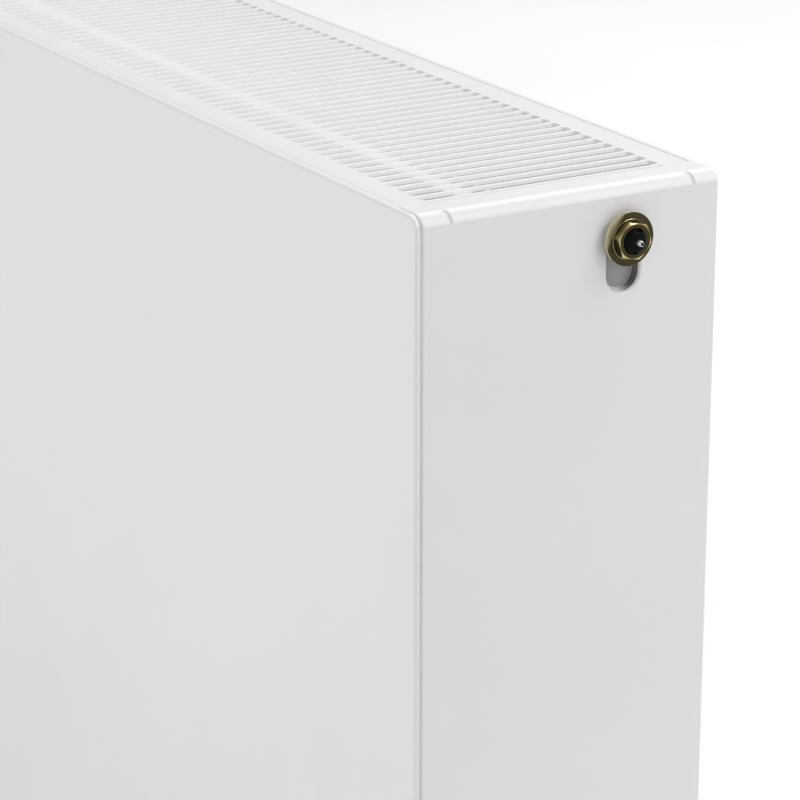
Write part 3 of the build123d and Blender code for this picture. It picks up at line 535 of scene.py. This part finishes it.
# ---- presetting cap and pin --------------------------------------------------------------------
CAP_R = 5.75
CAP_SKIRT_R = 4.95
CAP_BACK = 5.5
CAP_UNDER = 6.1
CAP_SIDE_END = 8.3
CAP_SHOULDER = 8.4
CAP_FRONT = 11.2
CAP_TOP_R = 2.1
CAP_HOLE_R = 1.6
CAP_MOUTH_R = 1.75
CAP_MOUTH_DEPTH = 0.3
CAP_NOTCH_R = 4.5
CAP_NOTCH_HALF = 1.5
DOME_STEPS = 12
DOME_RISE_POWER = 0.9
DOME_ROUND_POWER = 0.8
CAP_STEPS = 160
PIN_R = 1.5
PIN_START = -2.0
PIN_END = 14.4
PIN_BEVEL = ((12.4, PIN_R), (13.0, 1.45), (13.6, 1.3), (14.1, 1.08), (PIN_END, 0.9))
PIN_MARK = ((14.3, 0.8), (13.7, 0.76), (13.7, 0))
PIN_STEPS = 48


def cap():
    """The domed presetting cap, with a notch above and below the pin."""
    skirt = [(CAP_BACK, CAP_SKIRT_R), (CAP_BACK, CAP_R), (CAP_SIDE_END, CAP_R)]
    dome = []
    for step in range(DOME_STEPS):
        turn = math.pi / 2 * step / DOME_STEPS
        dome.append((
            CAP_SHOULDER + (CAP_FRONT - CAP_SHOULDER) * math.sin(turn) ** DOME_RISE_POWER,
            CAP_TOP_R + (CAP_R - CAP_TOP_R) * math.cos(turn) ** DOME_ROUND_POWER,
        ))
    dome.append((CAP_FRONT, CAP_TOP_R))
    hole = [(CAP_FRONT, CAP_MOUTH_R), (CAP_FRONT - CAP_MOUTH_DEPTH, CAP_HOLE_R)]
    hole += [(CAP_UNDER, CAP_HOLE_R), (CAP_UNDER, CAP_SKIRT_R)]
    domed = range(len(skirt), len(skirt) + len(dome))

    def notch(row, angle, out, radius):
        aside = radius * abs(math.cos(angle - HEX_TURN))
        if row in domed and aside < CAP_NOTCH_HALF and radius > CAP_NOTCH_R:
            return out, CAP_NOTCH_R
        return out, radius

    points, faces = lathe(skirt + dome + hole, CAP_STEPS, notch)
    made = piece("cap_dome", points, faces, BLACK, body="presetting", sharp=50)
    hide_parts("preset_cap")


def pin():
    """The steel pin, with a bevelled end and a centre mark."""
    rows = [(PIN_START, 0), (PIN_START, PIN_R), *PIN_BEVEL, *PIN_MARK]
    points, faces = lathe(rows, PIN_STEPS, solid=True)
    made = piece("pin_turned", points, faces, STEEL, body="valve_stem", sharp=25)
    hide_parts("push_pin")


cap()
pin()


# ---- top grille --------------------------------------------------------------------------------
# All in millimetres. An edge is a row of (distance behind the casing's front, depth below the top);
# ROLL is a row of (distance out of the slot's outline, depth below the top).
grille_low, grille_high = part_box("top_grille")
casing_front = casing_low.y / MM
SHEET_TOP = HEIGHT / MM - 0.1
SHEET_UNDER = SHEET_TOP - 1.8
LIP_UNDER = grille_low.z / MM
SLOT_HALF = 3.45
SLOT_COUNT = 110
SLOT_INSET = 18.15
SLOT_FRONT = casing_front + 14.5
SLOT_REAR = casing_front + 138.3
SLOT_CORNER = 2.2
CORNER_STEPS = 6
ROLL = ((0.30, 0.0), (0.18, 0.03), (0.06, 0.12), (-0.06, 0.3), (-0.30, 0.7), (-0.62, 1.3))
ROLL_FOOT = -0.85
FRONT_EDGE = ((1.32, 0.5), (1.7, 0.2), (2.2, 0.05), (2.8, 0.0))
REAR_EDGE = ((149.3, 0.0), (149.7, 0.07), (149.95, 0.22), (150.05, 0.35), (152.42, 0.35), (152.42, 0.6))
FRONT_LIP = (3.0, 4.2)
REAR_LIP = (151.0, 152.42)
END_REACH = 0.22
MERGE = 1e-6
CUT = 1e-7


def slot_outline(inner, front_end, rear_end):
    """Once round a slot: (direction, x and y of the middle of its corner), the first one repeated."""
    middles = ((inner, rear_end), (-inner, rear_end), (-inner, front_end), (inner, front_end))
    outline = []
    for turn, (aside, end) in enumerate(middles):
        for step in range(CORNER_STEPS + 1):
            outline.append((math.pi / 2 * (turn + step / CORNER_STEPS), aside, end))
    outline.append(outline[0])
    return outline


def slot_rows(x0, outline, outer):
    """The field of sheet round the slot at x0, from its square outline over the rolled rim of the
    slot and back to the square outline underneath."""
    def around(reach_at, z):
        """A row of points, each as far from the middle of its corner as reach_at(direction) says."""
        return [
            (x0 + aside + reach_at(a) * math.cos(a), y + reach_at(a) * math.sin(a), z)
            for a, aside, y in outline
        ]

    def rounded(grow, z):
        return around(lambda a: SLOT_CORNER + grow, z)

    def square(z):
        return around(lambda a: outer / max(abs(math.cos(a)), abs(math.sin(a))), z)

    rims = [rounded(grow, SHEET_TOP - drop) for grow, drop in ROLL]
    return [square(SHEET_TOP), *rims, rounded(ROLL_FOOT, SHEET_UNDER), square(SHEET_UNDER)]


def rear_section(start):
    """(y, z) from start over the rear edge, down the rear lip and back under the sheet."""
    section = [(start, SHEET_TOP)]
    section += [(casing_front + y, SHEET_TOP - drop) for y, drop in REAR_EDGE]
    section += [(casing_front + y, LIP_UNDER) for y in reversed(REAR_LIP)]
    section += [(casing_front + REAR_LIP[0], SHEET_UNDER), (start, SHEET_UNDER)]
    return section


def front_section(start):
    """(y, z) from start under the sheet, down the front lip and back over the front edge."""
    section = [(start, SHEET_UNDER), (casing_front + FRONT_LIP[1], SHEET_UNDER)]
    section += [(casing_front + y, LIP_UNDER) for y in reversed(FRONT_LIP)]
    section += [(casing_front + y, SHEET_UNDER) for y in (FRONT_LIP[0], FRONT_EDGE[0][0])]
    section += [(casing_front + y, SHEET_TOP - drop) for y, drop in FRONT_EDGE]
    section += [(start, SHEET_TOP)]
    return section


def strip(mesh, rows):
    """Faces between rows of points in millimetres; the rows run side by side."""
    made = [[mesh.verts.new((x * MM, y * MM, z * MM)) for x, y, z in row] for row in rows]
    for below, above in zip(made, made[1:]):
        for index in range(len(below) - 1):
            mesh.faces.new((below[index], below[index + 1], above[index + 1], above[index]))


def cut_end(mesh, x, sign):
    """Take away what lies beyond x, which sign says the way of, and close the end."""
    everything = mesh.verts[:] + mesh.edges[:] + mesh.faces[:]
    cut = bmesh.ops.bisect_plane(
        mesh, geom=everything, dist=CUT, plane_co=(x, 0, 0), plane_no=(sign, 0, 0), clear_outer=True
    )
    edges = [item for item in cut["geom_cut"] if isinstance(item, bmesh.types.BMEdge)]
    bmesh.ops.contextual_create(mesh, geom=[edge for edge in edges if edge.is_boundary])


def grille():
    """The slotted sheet, with the rolled edges of punched slots, and a lip along both sides."""
    side = SIDE_FACE / MM
    far_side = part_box("left_side_casing")[0].x / MM
    pitch = (side - far_side - 2 * SLOT_INSET) / (SLOT_COUNT - 1)
    inner = SLOT_HALF - SLOT_CORNER
    outer = pitch / 2 - inner
    front_end = SLOT_FRONT + SLOT_CORNER
    rear_end = SLOT_REAR - SLOT_CORNER
    outline = slot_outline(inner, front_end, rear_end)
    sections = (rear_section(rear_end + outer), front_section(front_end - outer))
    first = CORNER_STEPS // 2
    last = CORNER_STEPS + 1 + first

    mesh = bmesh.new()
    for slot in range(SLOT_COUNT):
        rows = slot_rows(side - SLOT_INSET - slot * pitch, outline, outer)
        strip(mesh, rows)
        across = [point[0] for point in rows[0][first:last + 1]]
        for section in sections:
            strip(mesh, [[(x, y, z) for x in across] for y, z in section])
    bmesh.ops.remove_doubles(mesh, verts=mesh.verts[:], dist=MERGE)
    cut_end(mesh, grille_high.x + END_REACH * MM, 1)
    cut_end(mesh, grille_low.x - END_REACH * MM, -1)
    bmesh.ops.recalc_face_normals(mesh, faces=mesh.faces[:])

    data = bpy.data.meshes.new("grille_sheet")
    mesh.to_mesh(data)
    mesh.free()
    surfaced(data, ENAMEL, 40)
    made = linked("grille_sheet", data)
    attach(made, "root")
    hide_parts("top_grille")


grille()


# ---- camera, floor and light -------------------------------------------------------------------
LENS = 150
CAMERA_PLACE = (1.6619, -0.7781, 0.9856)
CAMERA_HEADING = math.radians(149.54)
CAMERA_DOWN = math.radians(18.94)
FLOOR_HALF = 24.0
HORIZON = 0.58
ZENITH = 0.36
TOP_CORNER = (SIDE_FACE, 0, HEIGHT)
# Name, place, aim and size in metres, power in watts.
LIGHTS = (
    ("overhead", (0.0, 1.6, 3.1), TOP_CORNER, (1.8, 1.8), 4),
    ("fill", (-0.6, -1.0, 3.4), TOP_CORNER, (2.4, 2.0), 7),
    ("key", (1.9, 1.5, 2.7), TOP_CORNER, (1.9, 1.9), 44),
    ("front", (-0.6, -3.4, 1.2), TOP_CORNER, (2.5, 2.0), 37),
    ("backdrop", (-1.6, 2.2, 3.0), (-1.5, 1.9, 0), (2.6, 2.4), 58),
)


def camera():
    """The view of the top corner beside the valve."""
    data = bpy.data.cameras.new("camera")
    data.lens = LENS
    data.clip_start = 0.05
    data.clip_end = 100
    made = linked("camera", data)
    made.location = CAMERA_PLACE
    made.rotation_euler = (math.pi / 2 - CAMERA_DOWN, 0, CAMERA_HEADING - math.pi / 2)
    bpy.context.scene.camera = made


def floor():
    """A plain pale floor under the object."""
    half = FLOOR_HALF
    corners = [(-half, -half, 0), (half, -half, 0), (half, half, 0), (-half, half, 0)]
    mesh = bpy.data.meshes.new("floor")
    mesh.from_pydata(corners, [], [(0, 1, 2, 3)])
    mesh.materials.append(finish(
        "pale_floor", grey(0.92), grey(0.94), roughness=(0.6, 0.7), patch=0.5, peel=40, depth=0.02,
    ))
    made = linked("floor", mesh)
    made.location.z = cad_box[0].z


def softbox(name, place, aim, size, power):
    """A rectangular light at place that shines towards aim."""
    data = bpy.data.lights.new(name, "AREA")
    data.shape = "RECTANGLE"
    data.size, data.size_y = size
    data.energy = power
    made = linked(name, data)
    made.location = place
    made.rotation_euler = (Vector(aim) - Vector(place)).to_track_quat("-Z", "Y").to_euler()


def sky(horizon, zenith):
    """White surroundings that go evenly from one strength at the horizon to another overhead."""
    world = bpy.data.worlds.new("studio")
    bpy.context.scene.world = world
    world.use_nodes = True
    tree = world.node_tree
    fade = tree.nodes.new("ShaderNodeMapRange")
    fade.inputs["To Min"].default_value = horizon
    fade.inputs["To Max"].default_value = zenith
    height = part_of(tree, "ShaderNodeTexCoord", "Generated", "Z")
    tree.links.new(height, fade.inputs["Value"])
    background = tree.nodes["Background"]
    background.inputs["Color"].default_value = (1, 1, 1, 1)
    tree.links.new(fade.outputs["Result"], background.inputs["Strength"])


camera()
floor()
sky(HORIZON, ZENITH)
for light in LIGHTS:
    softbox(*light)
bpy.context.scene.view_settings.view_transform = "Standard"
